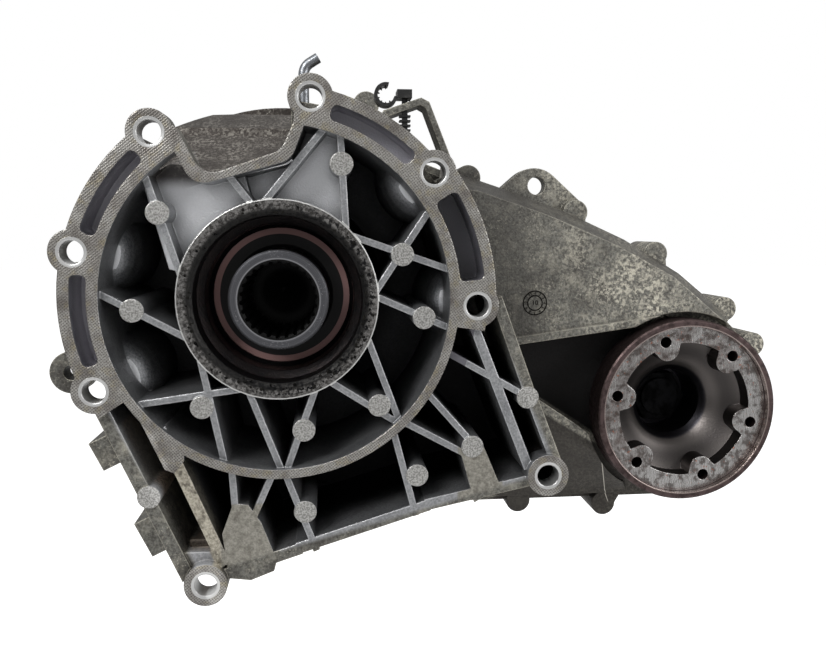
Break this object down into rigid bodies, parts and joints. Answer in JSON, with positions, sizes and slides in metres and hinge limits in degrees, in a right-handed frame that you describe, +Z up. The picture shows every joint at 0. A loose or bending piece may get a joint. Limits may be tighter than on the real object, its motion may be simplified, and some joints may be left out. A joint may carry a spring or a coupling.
{
  "type": "transfer case",
  "caption": "Full-time transfer case with ribbed transmission face, splined input, chain drive and bolted output flanges front and rear.",
  "frame": {"origin": "input axis where it meets the transmission face", "axes": "+Y along the input axis towards the rear output, +Z up, +X towards the front output's side"},
  "size_m": [0.4286, 0.243, 0.2917],
  "materials": {
    "front_casting": "rough die casting, milled faces",
    "rear_casting": "rough die casting",
    "spline_steel": "oily, induction hardened",
    "gear_steel": "case hardened",
    "ground_steel": "ground",
    "bearing_steel": "ground and polished",
    "chain_steel": "blued link plates",
    "flange_steel": "turned steel with light rust",
    "nut_steel": "phosphated",
    "tube_steel": "drawn tube",
    "zinc_sheet": "zinc plated pressing",
    "zinc_bolts": "zinc plated",
    "bronze": "bored bronze",
    "copper": "soft copper",
    "seal_rubber": "moulded, brown",
    "clip_plastic": "moulded nylon, black"
  },
  "bodies": {
    "casing": {"breather_tube": "tube_steel", "casing_bolts": "zinc_bolts", "drain_plug": "nut_steel", "drain_plug_washer": "copper", "drive_chain": "chain_steel", "filler_plug": "nut_steel", "filler_plug_washer": "copper", "front_casing": "front_casting", "front_output_bearing_outer": "bearing_steel", "front_output_bearing_rollers": "bearing_steel", "front_output_seal": "seal_rubber", "front_shaft_end_bearing_outer": "bearing_steel", "front_shaft_end_bearing_rollers": "bearing_steel", "harness_clip": "clip_plastic", "input_bearing_outer": "bearing_steel", "input_bearing_rollers": "bearing_steel", "input_oil_seal": "seal_rubber", "joint_dowels": "ground_steel", "rear_bearing_outer": "bearing_steel", "rear_bearing_rollers": "bearing_steel", "rear_casing": "rear_casting", "rear_output_seal": "seal_rubber", "sprocket_bearing_outer": "bearing_steel", "sprocket_bearing_rollers": "bearing_steel"},
    "front_drive": {"sun_gear": "gear_steel", "sun_gear_bush": "bronze", "drive_sprocket": "gear_steel", "sprocket_bearing_inner": "bearing_steel"},
    "input": {"input_shaft": "spline_steel", "planet_carrier": "gear_steel", "planet_pins": "ground_steel", "input_bearing_inner": "bearing_steel"},
    "planet_1": {"planet_gear_1": "gear_steel"},
    "planet_2": {"planet_gear_2": "gear_steel"},
    "planet_3": {"planet_gear_3": "gear_steel"},
    "rear_output": {"ring_gear": "gear_steel", "ring_gear_hub": "gear_steel", "rear_output_shaft": "ground_steel", "rear_bearing_inner": "bearing_steel", "rear_output_flange": "flange_steel", "rear_flange_nut": "nut_steel", "rear_dust_shield": "zinc_sheet"},
    "front_output": {"driven_sprocket": "gear_steel", "front_output_shaft": "ground_steel", "front_output_flange": "flange_steel", "front_flange_nut": "nut_steel", "front_output_bearing_inner": "bearing_steel", "front_shaft_end_bearing_inner": "bearing_steel"}
  },
  "joints": [
    {"name": "front_drive_turn", "type": "hinge", "parent": "casing", "child": "front_drive", "pos_m": [0, 0.12, 0], "axis": [0, 1, 0], "continuous": true},
    {"name": "differential_turn", "type": "hinge", "parent": "front_drive", "child": "input", "pos_m": [0, 0.12, 0], "axis": [0, 1, 0], "continuous": true},
    {"name": "rear_output_turn", "type": "hinge", "parent": "input", "child": "rear_output", "pos_m": [0, 0.19, 0], "axis": [0, 1, 0], "continuous": true},
    {"name": "front_output_turn", "type": "hinge", "parent": "casing", "child": "front_output", "pos_m": [0.2375, 0.12, -0.0725], "axis": [0, 1, 0], "continuous": true},
    {"name": "planet_1_turn", "type": "hinge", "parent": "input", "child": "planet_1", "pos_m": [0, 0.149, 0.054], "axis": [0, 1, 0], "continuous": true},
    {"name": "planet_2_turn", "type": "hinge", "parent": "input", "child": "planet_2", "pos_m": [-0.04677, 0.149, -0.027], "axis": [0, 1, 0], "continuous": true},
    {"name": "planet_3_turn", "type": "hinge", "parent": "input", "child": "planet_3", "pos_m": [0.04677, 0.149, -0.027], "axis": [0, 1, 0], "continuous": true}
  ],
  "couplings": [
    {"joint": "front_output_turn", "follows": "front_drive_turn", "ratio": 1},
    {"joint": "rear_output_turn", "follows": "differential_turn", "ratio": 0.38461},
    {"joint": "planet_1_turn", "follows": "differential_turn", "ratio": 1.25},
    {"joint": "planet_2_turn", "follows": "differential_turn", "ratio": 1.25},
    {"joint": "planet_3_turn", "follows": "differential_turn", "ratio": 1.25}
  ]
}
